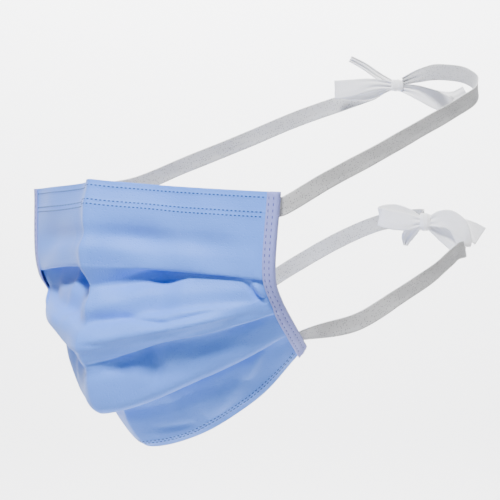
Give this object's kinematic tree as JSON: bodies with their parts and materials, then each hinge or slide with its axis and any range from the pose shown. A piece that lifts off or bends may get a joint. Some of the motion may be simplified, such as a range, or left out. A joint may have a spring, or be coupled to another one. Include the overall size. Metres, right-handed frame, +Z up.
{
  "type": "surgical face mask",
  "caption": "Pleated surgical face mask in its worn form, with bound side edges and flat ties fastened behind in an upper and a lower bow.",
  "frame": {"origin": "where the mask sits on the bridge of the nose, at the middle of its top edge", "axes": "+X towards the wearer's left, +Y towards the back of the head, +Z up"},
  "size_m": [0.152, 0.2499, 0.1719],
  "materials": {
    "blue_cloth": "matte",
    "lavender_binding": "matte",
    "grey_tie": "matte",
    "white_bow": "matte"
  },
  "bodies": {
    "root": {"mask_body": "blue_cloth", "binding_left": "lavender_binding", "binding_right": "lavender_binding", "tie_upper_left": "grey_tie", "tie_upper_right": "grey_tie", "tie_lower_left": "grey_tie", "tie_lower_right": "grey_tie", "knot_upper": "white_bow", "knot_lower": "white_bow", "bow_upper_loop_left": "white_bow", "bow_upper_loop_right": "white_bow", "bow_upper_tail_left": "white_bow", "bow_upper_tail_right": "white_bow", "bow_lower_loop_left": "white_bow", "bow_lower_loop_right": "white_bow", "bow_lower_tail_left": "white_bow", "bow_lower_tail_right": "white_bow"}
  },
  "joints": []
}
